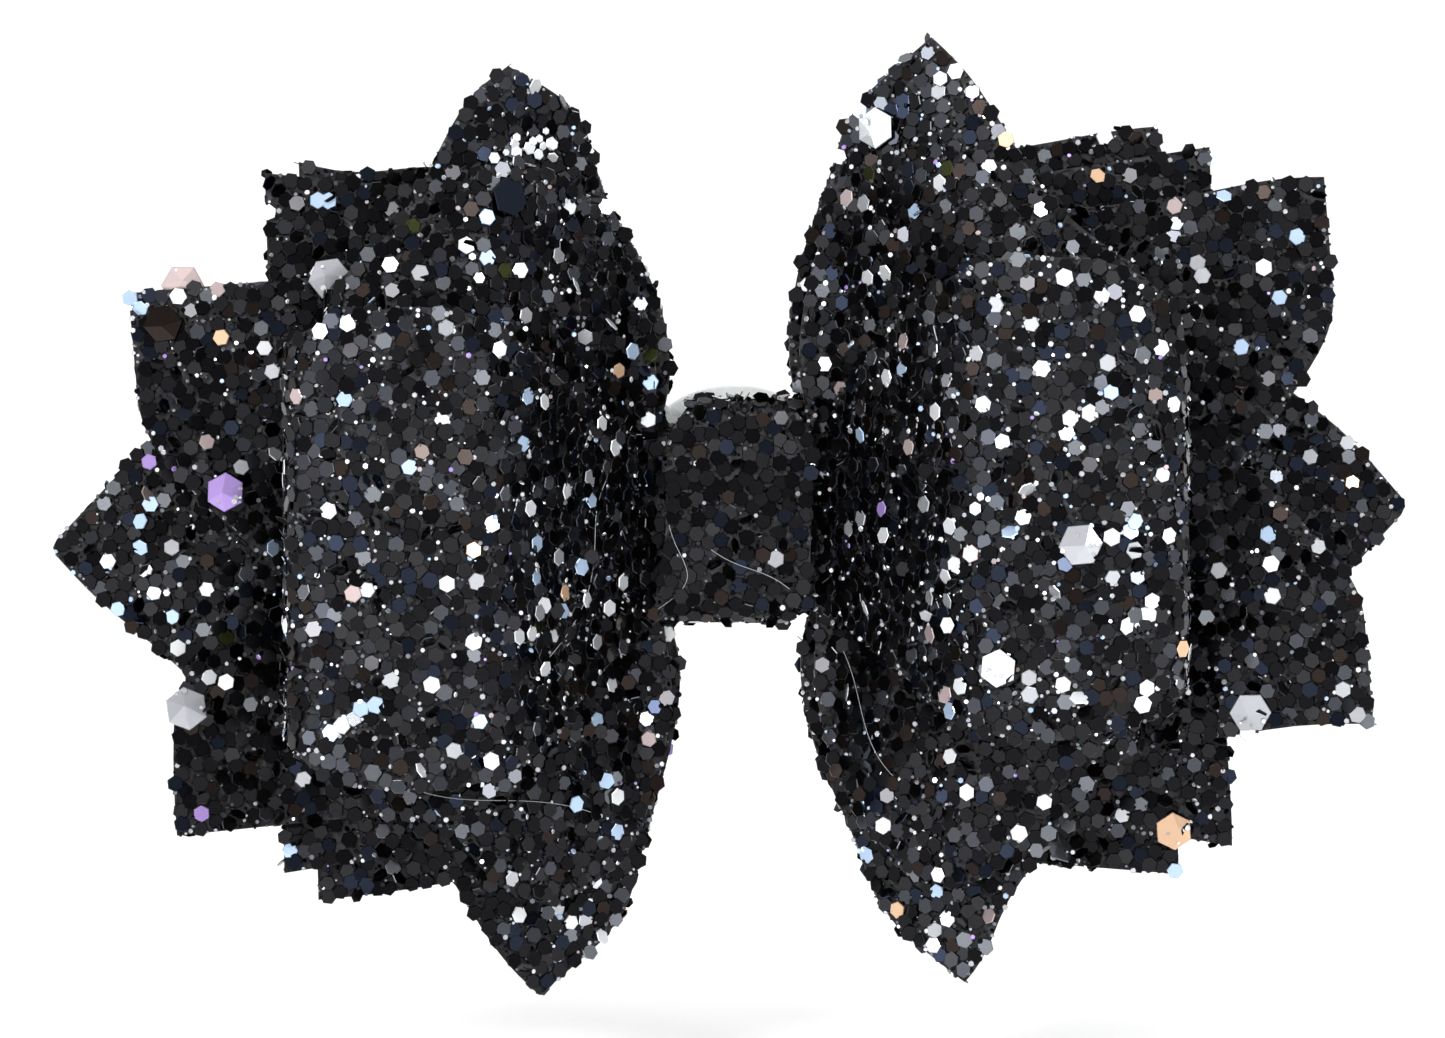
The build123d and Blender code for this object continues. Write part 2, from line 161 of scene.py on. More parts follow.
# ---- materials -----------------------------------------------------------------------------------
def glitter_base_material():
    """The black resin with fine glitter dust that shows between the flakes."""
    mat, tree, shader = new_material("glitter_base", Roughness=0.5, Specular_IOR_Level=0.25)
    vector = object_coords(tree)
    cells = node(tree, "ShaderNodeTexVoronoi", Scale=1.6)
    tree.links.new(vector, cells.inputs["Vector"])
    grain = node(tree, "ShaderNodeTexNoise", Scale=0.9, Detail=4.0)
    tree.links.new(vector, grain.inputs["Vector"])
    cell_value = node(tree, "ShaderNodeSeparateColor")
    tree.links.new(cells.outputs["Color"], cell_value.inputs[0])
    dark = ((0.0, (0.002, 0.002, 0.003)), (0.7, (0.006, 0.006, 0.008)), (1.0, (0.03, 0.031, 0.036)))
    dust = ramp(tree, cell_value.outputs[0], dark)
    tint = ramp(tree, grain.outputs["Fac"], ((0.35, (0.75, 0.8, 1.0)), (0.65, (1.0, 0.9, 0.8))))
    colour = blend_colours(tree, 1.0, dust, tint, "MULTIPLY")
    tree.links.new(colour, shader.inputs["Base Color"])
    add_bump(tree, shader, cells.outputs["Distance"], 0.5, 0.15 * MM)
    return mat


def weave_height(tree, pitch):
    """A plain weave's height, from two crossed sets of threads in the X-Z plane."""
    waves = []
    for axis in ("X", "Z"):
        wave = node(tree, "ShaderNodeTexWave", wave_type="BANDS", bands_direction=axis)
        wave.inputs["Scale"].default_value = math.pi / 10 / pitch
        wave.inputs["Distortion"].default_value = 0.6
        wave.inputs["Detail Scale"].default_value = 0.8
        tree.links.new(object_coords(tree), wave.inputs["Vector"])
        waves.append(wave.outputs["Fac"])
    product = node(tree, "ShaderNodeMath", operation="MULTIPLY")
    tree.links.new(waves[0], product.inputs[0])
    tree.links.new(waves[1], product.inputs[1])
    return product.outputs[0]


def backing_material():
    """The off-white woven cloth on the back of the glitter sheet."""
    mat, tree, shader = new_material("woven_backing", Roughness=0.9, Sheen_Weight=0.25)
    height = weave_height(tree, 0.55)
    threads = ramp(tree, height, ((0.0, (0.30, 0.28, 0.24)), (0.5, (0.60, 0.57, 0.51))))
    blotch = node(tree, "ShaderNodeTexNoise", Scale=0.12, Detail=3.0)
    tree.links.new(object_coords(tree), blotch.inputs["Vector"])
    soil = ramp(tree, blotch.outputs["Fac"], ((0.3, (0.93, 0.93, 0.94)), (0.7, (1.0, 0.99, 0.97))))
    colour = blend_colours(tree, 1.0, threads, soil, "MULTIPLY")
    tree.links.new(colour, shader.inputs["Base Color"])
    add_bump(tree, shader, height, 0.6, 0.12 * MM)
    return mat


def cut_edge_material():
    """A cut edge: a thin line of pale cloth behind the black glitter layer."""
    mat, tree, shader = new_material("cut_edge", Roughness=0.7)
    side = node(tree, "ShaderNodeAttribute", attribute_name="glitter_side")
    black, cloth = (0.010, 0.010, 0.012), (0.34, 0.32, 0.28)
    layers = ramp(tree, side.outputs["Fac"], ((0.0, cloth), (0.22, black)), constant=True)
    fray = node(tree, "ShaderNodeTexNoise", Scale=1.8, Detail=3.0)
    tree.links.new(object_coords(tree), fray.inputs["Vector"])
    wear = ramp(tree, fray.outputs["Fac"], ((0.4, (0.35, 0.35, 0.35)), (0.62, (1.0, 1.0, 1.0))))
    colour = blend_colours(tree, 1.0, layers, wear, "MULTIPLY")
    tree.links.new(colour, shader.inputs["Base Color"])
    add_bump(tree, shader, fray.outputs["Fac"], 0.6, 0.2 * MM)
    return mat


# Name, colour, metallic, roughness, share of the flakes, share of the fine ones.
FLAKE_KINDS = (
    ("jet", (0.009, 0.009, 0.0105), 0.95, 0.12, 0.26, 0.20),
    ("soot", (0.018, 0.018, 0.020), 0.95, 0.12, 0.25, 0.16),
    ("charcoal", (0.029, 0.029, 0.032), 0.95, 0.14, 0.18, 0.12),
    ("blue_black", (0.015, 0.019, 0.031), 0.95, 0.12, 0.10, 0.10),
    ("brown_black", (0.024, 0.018, 0.016), 0.95, 0.15, 0.060, 0.05),
    ("slate", (0.056, 0.059, 0.070), 0.95, 0.14, 0.062, 0.11),
    ("steel", (0.17, 0.18, 0.20), 0.9, 0.18, 0.024, 0.10),
    ("pale_grey", (0.44, 0.45, 0.48), 0.7, 0.24, 0.014, 0.07),
    ("silver", (0.80, 0.82, 0.85), 0.6, 0.24, 0.024, 0.055),
    ("ice_blue", (0.46, 0.60, 0.80), 0.6, 0.22, 0.009, 0.02),
    ("lilac", (0.38, 0.26, 0.60), 0.5, 0.22, 0.001, 0.005),
    ("rose", (0.46, 0.37, 0.37), 0.6, 0.24, 0.003, 0.005),
    ("peach", (0.70, 0.46, 0.30), 0.6, 0.24, 0.002, 0.0),
    ("olive", (0.040, 0.048, 0.016), 0.9, 0.24, 0.003, 0.0),
)
KIND_INDEX = {kind[0]: i for i, kind in enumerate(FLAKE_KINDS)}
BRIGHTEST = np.array([max(kind[1]) for kind in FLAKE_KINDS])  # each kind's strongest channel

FLAKE_R = 0.80 * MM
FLAKE_GAP = 1.06 * MM  # least distance between the middles of two flakes
RIM_FLAKE_R = 0.62 * MM
FINE_FLAKE_R = 0.20 * MM
DENSE = 9.0  # candidate places for a flake, per square millimetre
EDGE_STRIP = 0.42 * MM  # mostly kept free of flakes, so that they don't widen the outline
EDGE_SHARE = 0.14  # how many places in that strip are used all the same
EDGE_PAINTED_GLINT_SHARE = 0.38  # how many fine flakes on an edge are made pale, as a painted highlight along the edges
MOST_PAINTED_SHADE = 0.66  # the largest share of flakes made jet or soot as painted shade between the layers


def flake_materials():
    made = []
    for name, colour, metallic, roughness, *_shares in FLAKE_KINDS:
        mat, _tree, _shader = new_material(
            "flake_" + name,
            Base_Color=colour,
            Metallic=metallic,
            Roughness=roughness,
            Specular_IOR_Level=0.3,
        )
        made.append(mat)
    return made


def felt_material():
    mat, tree, shader = new_material("pale_felt", Roughness=0.95, Sheen_Weight=0.5)
    vector = object_coords(tree)
    fine = node(tree, "ShaderNodeTexNoise", Scale=2.2, Detail=6.0, Roughness=0.7, Distortion=1.5)
    tree.links.new(vector, fine.inputs["Vector"])
    stops = ((0.35, (0.86, 0.905, 0.925)), (0.65, (0.95, 0.975, 0.99)))
    tree.links.new(ramp(tree, fine.outputs["Fac"], stops), shader.inputs["Base Color"])
    add_bump(tree, shader, fine.outputs["Fac"], 0.8, 0.2 * MM)
    return mat


def ribbon_material():
    """Black grosgrain: ribs across the ribbon's width."""
    mat, tree, shader = new_material("grosgrain", Roughness=0.7, Sheen_Weight=0.3)
    ribs = node(tree, "ShaderNodeTexWave", wave_type="BANDS", bands_direction="X")
    ribs.inputs["Scale"].default_value = math.pi / 10 / 0.6
    tree.links.new(object_coords(tree), ribs.inputs["Vector"])
    stops = ((0.0, (0.006, 0.006, 0.007)), (1.0, (0.030, 0.030, 0.034)))
    tree.links.new(ramp(tree, ribs.outputs["Fac"], stops), shader.inputs["Base Color"])
    add_bump(tree, shader, ribs.outputs["Fac"], 0.8, 0.15 * MM)
    return mat


def thread_material():
    mat, tree, shader = new_material("black_thread", Roughness=0.65, Sheen_Weight=0.4)
    twist = node(tree, "ShaderNodeTexNoise", Scale=3.0, Detail=2.0)
    tree.links.new(object_coords(tree), twist.inputs["Vector"])
    stops = ((0.3, (0.006, 0.006, 0.007)), (0.7, (0.028, 0.028, 0.030)))
    tree.links.new(ramp(tree, twist.outputs["Fac"], stops), shader.inputs["Base Color"])
    return mat


def glue_material():
    mat, tree, shader = new_material(
        "hot_glue", Roughness=0.22, Subsurface_Weight=0.3, Coat_Weight=0.3
    )
    shader.inputs["Subsurface Scale"].default_value = 1.0 * MM
    cloud = node(tree, "ShaderNodeTexNoise", Scale=0.5, Detail=3.0)
    tree.links.new(object_coords(tree), cloud.inputs["Vector"])
    stops = ((0.3, (0.70, 0.67, 0.58)), (0.7, (0.86, 0.84, 0.78)))
    tree.links.new(ramp(tree, cloud.outputs["Fac"], stops), shader.inputs["Base Color"])
    add_bump(tree, shader, cloud.outputs["Fac"], 0.4, 0.3 * MM)
    return mat


def metal_material(name, colour, roughness, grain):
    """Nickel-plated stamped steel, with rolling marks along X and slight tarnish."""
    mat, tree, shader = new_material(name, Metallic=1.0)
    marks = node(tree, "ShaderNodeTexNoise", Scale=1.0, Detail=4.0)
    tree.links.new(object_coords(tree, (0.15, grain, grain)), marks.inputs["Vector"])
    tarnish = node(tree, "ShaderNodeTexNoise", Scale=0.25, Detail=3.0)
    tree.links.new(object_coords(tree), tarnish.inputs["Vector"])
    dull = tuple(0.93 * c for c in colour)
    stops = ((0.4, dull), (0.6, colour))
    tree.links.new(ramp(tree, tarnish.outputs["Fac"], stops), shader.inputs["Base Color"])
    spread = node(tree, "ShaderNodeMapRange")
    spread.inputs["To Min"].default_value = roughness * 0.7
    spread.inputs["To Max"].default_value = roughness * 1.4
    tree.links.new(marks.outputs["Fac"], spread.inputs["Value"])
    tree.links.new(spread.outputs["Result"], shader.inputs["Roughness"])
    add_bump(tree, shader, marks.outputs["Fac"], 0.12, 0.05 * MM)
    return mat


# ---- sheets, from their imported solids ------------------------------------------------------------
def sag(x, z):
    """How far the soft sheets are pushed out of their plane, alike for every layer, in metres."""
    x, z = x / MM, z / MM
    grown = np.clip((np.hypot(x, z) - 12) / 24, 0, 1)
    grown = grown * grown * (3 - 2 * grown)
    wave = np.sin(0.11 * x + 0.07 * z + 0.6) + 0.7 * np.sin(0.16 * z - 0.05 * x + 1.9)
    wave += 0.35 * np.sin(0.27 * x + 0.21 * z)
    return 0.42 * MM * grown * wave


# Where hand folding has drawn a sheet sideways: x, z, how far round it that reaches, and the shift
# in x and z, all in mm.
DRAWN = {
    "petal_loops": (
        (-11.8, 29, 8, -2.1, -0.2),
        (-20.5, 43, 5, 0.3, -1.5),
        (-8.0, -27, 9, -0.7, 0.2),
        (10.0, -31, 9, 1.0, 0.2),
        (25.5, -36, 5, -1.1, 0.3),
        (10.5, 30, 7, 0.6, 0.0),
    ),
    "pointed_tails": ((57, 6.5, 7, 0.3, 1.0), (-57, -5, 6, -0.5, -0.6)),
    "notched_tails": ((50, 30, 7, 0.0, 0.9), (-51, -15, 7, 0.9, 0.2), (52, -19, 7, -0.3, 0.7)),
    "rear_square_tails": ((-36, 33, 6, 0.2, -1.3), (36, 33, 7, 0.0, 0.5), (-33, -34, 7, 0.0, -0.3)),
    "front_square_tails": ((40, -29, 6, 0.7, 0.0), (38, -31, 6, 0.0, 0.4)),
}


def drawn(name, point):
    """The shift that folding by hand gives this point of a sheet."""
    shift = Vector((0, 0, 0))
    for x, z, reach, dx, dz in DRAWN.get(name, ()):
        distance = math.hypot(point.x / MM - x, point.z / MM - z)
        shift += Vector((dx, 0, dz)) * MM * math.exp(-((distance / reach) ** 2))
    return shift


def open_solid(name):
    bm = bmesh.new()
    bm.from_mesh(NODES[name].data)
    bmesh.ops.remove_doubles(bm, verts=bm.verts, dist=1e-6)
    bmesh.ops.triangulate(bm, faces=[f for f in bm.faces if len(f.verts) > 3])
    bm.normal_update()
    return bm


def loop_side(face, tree):
    """Glitter or backing, for a face of a folded loop: the backing looks into the loop."""
    n = face.normal
    way = Vector((0, 1 if n.y >= 0 else -1, 0))
    start = face.calc_center_median() + n * 0.1 * MM
    return GLITTER if tree.ray_cast(start, way, 0.08)[0] is None else BACKING


def side_of(face, name, tree):
    """Which of the three surfaces this face of a sheet's solid belongs to."""
    n, c = face.normal, face.calc_center_median()
    if name == "centre_wrap":
        if abs(n.x) > 0.15:
            return CUT
        outwards = n.y * (c.y + 12.5 * MM) + n.z * c.z
        return GLITTER if outwards > 0 else BACKING
    if abs(n.z) > 0.15 or (abs(n.y) < 0.3 and abs(c.x) < 28 * MM):
        return CUT
    if name in TAILS:
        if abs(n.y) < 0.3:
            return CUT
        return GLITTER if n.y < 0 else BACKING
    return loop_side(face, tree)


def refine(bm, longest):
    """Splits every edge that is longer than this, so that the sheet can bend."""
    for _ in range(8):
        edges = [e for e in bm.edges if e.calc_length() > longest]
        if not edges:
            return
        bmesh.ops.subdivide_edges(bm, edges=edges, cuts=1)
        bmesh.ops.triangulate(bm, faces=[f for f in bm.faces if len(f.verts) > 3])


def sheet_mesh(name):
    """The sheet's mesh, with its sides marked, split finely and gently bent."""
    bm = open_solid(name)
    tree = BVHTree.FromBMesh(bm)
    for face in bm.faces:
        face.material_index = side_of(face, name, tree)
        face.smooth = True
    layer = bm.verts.layers.float.new("glitter_side")
    for vert in bm.verts:
        sides = {f.material_index for f in vert.link_faces}
        vert[layer] = 1.0 if GLITTER in sides else 0.0
    refine(bm, 2.5 * MM)
    for edge in bm.edges:
        if len({f.material_index for f in edge.link_faces}) > 1:
            edge.smooth = False
    if name != "centre_wrap":
        for vert in bm.verts:
            shift = drawn(name, vert.co)
            vert.co.y += float(sag(vert.co.x, vert.co.z))
            vert.co += shift
    mesh = bpy.data.meshes.new(name + "_sheet")
    bm.to_mesh(mesh)
    bm.free()
    return mesh


def add_piece(name, mesh, materials, body=BOW):
    piece = bpy.data.objects.new(name, mesh)
    bpy.context.scene.collection.objects.link(piece)
    for material in materials:
        mesh.materials.append(material)
    if body:
        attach(piece, body)
    return piece


def solid_volume(name):
    bm = open_solid(name)
    volume = bm.calc_volume()
    bm.free()
    return volume


# ---- flakes --------------------------------------------------------------------------------------
def triangles_of(mesh, side):
    """Corner points, normals and areas of one side's triangles."""
    points = np.zeros(len(mesh.vertices) * 3)
    mesh.vertices.foreach_get("co", points)
    points = points.reshape(-1, 3)
    corners = np.zeros(len(mesh.polygons) * 3, np.int32)
    mesh.polygons.foreach_get("vertices", corners)
    sides = np.zeros(len(mesh.polygons), np.int32)
    mesh.polygons.foreach_get("material_index", sides)
    tri = points[corners.reshape(-1, 3)[sides == side]]
    cross = np.cross(tri[:, 1] - tri[:, 0], tri[:, 2] - tri[:, 0])
    length = np.linalg.norm(cross, axis=1)
    keep = length > 1e-12
    return tri[keep], cross[keep] / length[keep, None], length[keep] / 2


def scatter(mesh, side, per_mm2, rng):
    """Random points on one side of a sheet, and the normals there."""
    tri, normals, areas = triangles_of(mesh, side)
    count = int(areas.sum() / MM**2 * per_mm2)
    pick = rng.choice(len(tri), count, p=areas / areas.sum())
    a, b = np.sqrt(rng.random(count)), rng.random(count)
    weights = np.stack([1 - a, a * (1 - b), a * b], axis=1)
    return (weights[:, :, None] * tri[pick]).sum(axis=1), normals[pick]


def thin_out(points, normals, gap):
    """Keeps points no nearer to each other than the gap, in the order given."""
    cells = {}
    kept = []
    keys = np.floor(points / gap).astype(int)
    for i, key in enumerate(keys):
        x, y, z = key
        near = (
            j
            for dx in (-1, 0, 1)
            for dy in (-1, 0, 1)
            for dz in (-1, 0, 1)
            for j in cells.get((x + dx, y + dy, z + dz), ())
        )
        p = points[i]
        if all(((p - points[j]) ** 2).sum() >= gap * gap for j in near):
            cells.setdefault((x, y, z), []).append(i)
            kept.append(i)
    return points[kept], normals[kept]


def with_room(points, normals, tree, room):
    """Keeps the points that have free space in front of them."""
    kept = []
    for i in range(len(points)):
        p, n = Vector(points[i]), Vector(normals[i])
        if tree.ray_cast(p + n * 0.06 * MM, n, room)[0] is None:
            kept.append(i)
    return points[kept], normals[kept]


def tilted(normals, spread, rng):
    """Unit normals leaned by random angles, mostly small and now and then steep."""
    count = len(normals)
    angle = np.abs(rng.normal(0, spread, count))
    steep = rng.random(count) < 0.10
    angle[steep] = rng.uniform(math.radians(25), math.radians(60), steep.sum())
    lean = rng.normal(size=(count, 3))
    lean -= (lean * normals).sum(axis=1)[:, None] * normals
    lean /= np.linalg.norm(lean, axis=1)[:, None]
    return normals * np.cos(angle)[:, None] + lean * np.sin(angle)[:, None], angle


def hexagons(name, centres, normals, radii, kinds, thickness, rng):
    """One mesh of closed hexagonal plates with bevelled rims."""
    count = len(centres)
    side = rng.normal(size=(count, 3))
    side -= (side * normals).sum(axis=1)[:, None] * normals
    side /= np.linalg.norm(side, axis=1)[:, None]
    other = np.cross(normals, side)
    turns = np.arange(6) * math.pi / 3
    rim = (
        np.cos(turns)[None, :, None] * side[:, None, :]
        + np.sin(turns)[None, :, None] * other[:, None, :]
    )
    rim = rim * radii[:, None, None]
    half = (thickness / 2)[:, None, None] * normals[:, None, :]
    top = rim * (1 - np.minimum(0.2, 0.07 * MM / radii))[:, None, None]
    verts = np.concatenate([centres[:, None] + top + half, centres[:, None] + rim - half], axis=1)
    faces = [(0, 1, 2, 3, 4, 5), (11, 10, 9, 8, 7, 6)]
    faces += [(i, i + 6, (i + 1) % 6 + 6, (i + 1) % 6) for i in range(6)]
    loops = np.array([v for f in faces for v in f])
    sizes = np.array([len(f) for f in faces])
    starts = np.concatenate([[0], np.cumsum(sizes)[:-1]])
    step = np.arange(count)[:, None]
    mesh = bpy.data.meshes.new(name)
    mesh.vertices.add(count * 12)
    mesh.vertices.foreach_set("co", verts.reshape(-1))
    mesh.loops.add(count * len(loops))
    mesh.loops.foreach_set("vertex_index", (loops[None] + 12 * step).reshape(-1))
    mesh.polygons.add(count * len(faces))
    mesh.polygons.foreach_set("loop_start", (starts[None] + len(loops) * step).reshape(-1))
    mesh.polygons.foreach_set("material_index", np.repeat(kinds, len(faces)))
    mesh.polygons.foreach_set("use_smooth", np.zeros(count * len(faces), bool))
    mesh.update(calc_edges=True)
    mesh.validate()
    return mesh


def openness(points, normals, tree, rng, rays=10, reach=22 * MM):
    """The share of directions in front of each point that no sheet blocks."""
    ways = rng.normal(size=(len(points), rays, 3))
    ways /= np.linalg.norm(ways, axis=2)[:, :, None]
    ways += 1.05 * normals[:, None]
    share = np.zeros(len(points))
    for i in range(len(points)):
        start = Vector(points[i] + 0.3 * MM * normals[i])
        share[i] = sum(tree.ray_cast(start, Vector(w), reach)[0] is None for w in ways[i]) / rays
    return share


def flake_kinds(open_share, rng, fine, painted_light, on_edge):
    """Random kinds, with painted light and shade: pale ones along edges as a painted highlight, the
    pale share scaled per sheet, and mostly jet deep between the layers as painted shade.
    """
    count = len(open_share)
    shares = np.array([kind[5 if fine else 4] for kind in FLAKE_KINDS])
    # Painted light and shade: the pale kinds grow more or less common on each sheet.
    shares = np.where(BRIGHTEST > 0.06, shares * painted_light, shares)
    kinds = rng.choice(len(FLAKE_KINDS), count, p=shares / shares.sum())
    # Painted shade: where little room is open in front of a flake, it is made jet or soot.
    painted_shade = rng.random(count) < np.clip(1.6 * (1 - open_share) - 0.05, 0, MOST_PAINTED_SHADE)
    # Painted highlight: a row of pale flakes along the cut edges.
    painted_glint = on_edge & (rng.random(count) < EDGE_PAINTED_GLINT_SHARE)
    kinds[painted_glint] = rng.choice([KIND_INDEX["steel"], KIND_INDEX["pale_grey"]], painted_glint.sum())
    painted_shade &= ~painted_glint
    kinds[painted_shade] = rng.choice([KIND_INDEX["jet"], KIND_INDEX["soot"]], painted_shade.sum(), p=[0.8, 0.2])
    return kinds


def faces_tree(mesh, side):
    """A search tree of one side's faces."""
    points = [v.co for v in mesh.vertices]
    return BVHTree.FromPolygons(
        points, [p.vertices for p in mesh.polygons if p.material_index == side]
    )


def near_to(tree, points, margin):
    """Which points lie within the margin of a surface."""
    return np.array([tree.find_nearest(Vector(p), margin)[0] is not None for p in points], bool)


def between(points, normals, centres, clear):
    """Keeps the points that lie in the gaps round a set of flakes."""
    tree = KDTree(len(centres))
    for i, centre in enumerate(centres):
        tree.insert(Vector(centre), i)
    tree.balance()
    kept = [i for i, p in enumerate(points) if tree.find(Vector(p))[2] > clear]
    return points[kept], normals[kept]


def add_flakes(name, places, lean, radii, rise, open_share, on_edge, materials, rng, fine):
    """One piece of flakes at these places; the pale ones lie highest, so that they stay whole."""
    points, normals = places
    leaned, angle = tilted(normals, math.radians(lean), rng)
    kinds = flake_kinds(open_share, rng, fine, SHEET_PAINTED_LIGHT.get(name, 1.0), on_edge)
    pale = BRIGHTEST[kinds] > 0.3
    lift = rng.uniform(*rise, len(points)) * MM + 0.4 * radii * np.sin(angle) + 0.10 * MM * pale
    centres = points + lift[:, None] * normals
    thickness = rng.uniform(0.05, 0.09, len(points)) * MM
    label = f"{name}_fine_flakes" if fine else f"{name}_flakes"
    made = hexagons(label, centres, leaned, radii, kinds, thickness, rng)
    return add_piece(label, made, materials)


def cover_with_flakes(name, mesh, tree, materials, seed):
    """Flakes side by side on the glitter side and cut edges, and fine ones in their gaps."""
    rng = np.random.default_rng(seed)
    edges = faces_tree(mesh, CUT)
    points, normals = scatter(mesh, GLITTER, DENSE, rng)
    kept = ~near_to(edges, points, EDGE_STRIP) | (rng.random(len(points)) < EDGE_SHARE)
    points, normals = points[kept], normals[kept]
    points, normals = thin_out(points, normals, FLAKE_GAP)
    points, normals = with_room(points, normals, tree, 0.9 * MM)
    rim_points, rim_normals = scatter(mesh, CUT, 1.2, rng)
    rim_points, rim_normals = thin_out(rim_points, rim_normals, 1.25 * MM)
    rim_points, rim_normals = with_room(rim_points, rim_normals, tree, 0.7 * MM)
    centres = np.vstack([points, rim_points - 0.35 * MM * rim_normals])
    faces = np.vstack([normals, rim_normals])
    radii = np.concatenate([
        FLAKE_R * rng.uniform(0.93, 1.05, len(points)),
        RIM_FLAKE_R * rng.uniform(0.90, 1.10, len(rim_points)),
    ])
    light = openness(centres, faces, tree, rng)
    no_edge = np.zeros(len(centres), bool)
    large = add_flakes(
        name, (centres, faces), 8, radii, (0.08, 0.34), light, no_edge, materials, rng, fine=False
    )

    points, normals = scatter(mesh, GLITTER, DENSE, rng)
    points, normals = thin_out(points, normals, 2 * FINE_FLAKE_R)
    points, normals = between(points, normals, centres, 0.58 * MM)
    points, normals = with_room(points, normals, tree, 0.9 * MM)
    radii = FINE_FLAKE_R * rng.uniform(0.5, 1.5, len(points))
    light = openness(points, normals, tree, rng)
    on_edge = near_to(edges, points, 0.55 * MM)
    fine = add_flakes(
        name, (points, normals), 28, radii, (0.12, 0.30), light, on_edge, materials, rng, fine=True
    )
    return [large, fine]


# The few large flakes: x and z in mm as seen from the front, their kind, and how far they stand
# out from the surface. The last one is stuck to a cut edge.
LARGE_FLAKES = (
    (29.9, -3.1, "pale_grey", 0.75),
    (23.0, -13.8, "silver", 0.75),
    (13.1, 34.8, "silver", 0.75),
    (-46.8, 1.6, "lilac", 0.75),
    (-52.4, 17.0, "brown_black", 0.75),
    (-37.3, 21.2, "pale_grey", 0.75),
    (-50.3, -18.2, "pale_grey", 0.75),
    (30.1, -31.0, "steel", 0.75),
    (47.2, -18.5, "pale_grey", 0.75),
    (-20.5, 27.8, "blue_black", 0.75),
    (40.5, -29.6, "peach", 0.75),
    (-50.6, 20.5, "rose", -0.5),
)

# Painted highlights: the brightest small flakes, put where the foil should catch the lamps, and
# placed in the same way: x, z, kind and how many lie together.
PAINTED_GLINT_FLAKES = (
    (-17.5, 33.5, "silver", 9),
    (-20.5, 33.0, "silver", 4),
    (-22.5, 31.5, "silver", 2),
    (-54.5, 0.5, "ice_blue", 1),
    (-55.5, -1.0, "ice_blue", 1),
    (-55.5, -3.5, "ice_blue", 1),
    (-52.5, -3.5, "pale_grey", 1),
    (-54.0, -6.5, "silver", 3),
    (32.5, -2.5, "silver", 1),
    (35.0, -1.5, "ice_blue", 3),
    (34.5, -3.5, "pale_grey", 1),
    (-24.0, 23.5, "silver", 1),
    (-24.5, 20.5, "silver", 2),
    (-28.0, 21.0, "pale_grey", 1),
    (-38.5, 28.5, "ice_blue", 1),
    (-37.5, 28.5, "ice_blue", 1),
    (20.5, 0.5, "silver", 2),
    (17.0, 0.5, "pale_grey", 1),
    (-12.0, -24.5, "ice_blue", 1),
    (-14.5, -26.5, "ice_blue", 1),
    (-11.0, -26.0, "silver", 1),
)
PATCH_SPREAD = 0.75  # mm, of the flakes that lie together
LONE_FLAKE_R = 0.82  # mm

# Hair-thin strings of glue: x and z in mm along each.
GLUE_STRINGS = (
    ((-6.0, -1.4), (-5.6, -3.2), (-3.7, -5.6), (-4.6, -7.4), (-7.0, -9.0)),
    ((-9.4, 7.6), (-10.8, 4.2), (-12.9, 0.6), (-12.2, -4.2), (-13.6, -9.8), (-16.4, -13.0)),
    ((-28.0, -24.2), (-23.5, -26.8), (-18.6, -25.0), (-12.8, -27.4)),
    ((-2.2, -3.6), (0.4, -5.6), (2.6, -5.2), (4.9, -7.2)),
    ((9.4, -12.0), (11.8, -16.4), (10.9, -20.8), (14.2, -24.0)),
)


def front_hit(tree, x, z):
    """The first sheet met from the front at this place, and its normal towards the viewer."""
    start = Vector((x * MM, -0.1, z * MM))
    hit, normal, _index, _distance = tree.ray_cast(start, Vector((0, 1, 0)))
    if hit is None:
        return None, None
    return hit, normal if normal.y < 0 else -normal


def nearby_hit(tree, x, z):
    """The front surface here, or just beside this place when the flake hangs over an edge."""
    for dx, dz in ((0, 0), (0, -1.2), (0, 1.2), (1.2, 0), (-1.2, 0), (0, -2.2), (0, 2.2)):
        hit, normal = front_hit(tree, x + dx, z + dz)
        if hit is not None:
            return Vector((x * MM, hit.y, z * MM)), normal
    return None, None


def make_large_flakes(tree, materials):
    """Each large flake is creased, and small crumbs of foil lie on all but the darkest ones."""
    rng = np.random.default_rng(7)
    places, normals, radii, kinds = [], [], [], []
    crumb_kinds = [KIND_INDEX[k] for k in ("pale_grey", "silver")]
    for x, z, kind, rise in LARGE_FLAKES:
        hit, normal = nearby_hit(tree, x, z)
        if hit is None:
            continue
        middle = hit + normal * rise * MM
        radius = rng.uniform(1.7, 2.1) * MM
        places.append(middle)
        normals.append(normal)
        radii.append(radius)
        kinds.append(KIND_INDEX[kind])
        if KIND_INDEX[kind] < KIND_INDEX["steel"]:
            continue
        for _ in range(5):
            turn, out = rng.uniform(0, 2 * math.pi), rng.uniform(0.3, 0.85) * radius
            place = middle + Vector((out * math.cos(turn), 0, out * math.sin(turn)))
            places.append(place + normal * rng.uniform(0.16, 0.30) * MM)
            normals.append(normal)
            radii.append(rng.uniform(0.12, 0.34) * MM)
            kinds.append(rng.choice(crumb_kinds))
    leaned, _angle = tilted(np.array(normals), math.radians(4), rng)
    mesh = hexagons(
        "large_flakes", np.array(places), leaned, np.array(radii), np.array(kinds),
        np.full(len(places), 0.10 * MM), rng,
    )
    bm = bmesh.new()
    bm.from_mesh(mesh)
    hexes = [f for f in bm.faces if len(f.verts) == 6 and f.calc_area() > 5 * MM**2]
    tops = [f for f in hexes if f.normal.y < 0]
    for vert in bmesh.ops.poke(bm, faces=tops, offset=0.16 * MM)["verts"]:
        vert.co += Vector(rng.uniform(-0.5, 0.5, 3) * (MM, 0.2 * MM, MM))
    bm.to_mesh(mesh)
    bm.free()
    add_piece("large_flakes", mesh, materials)


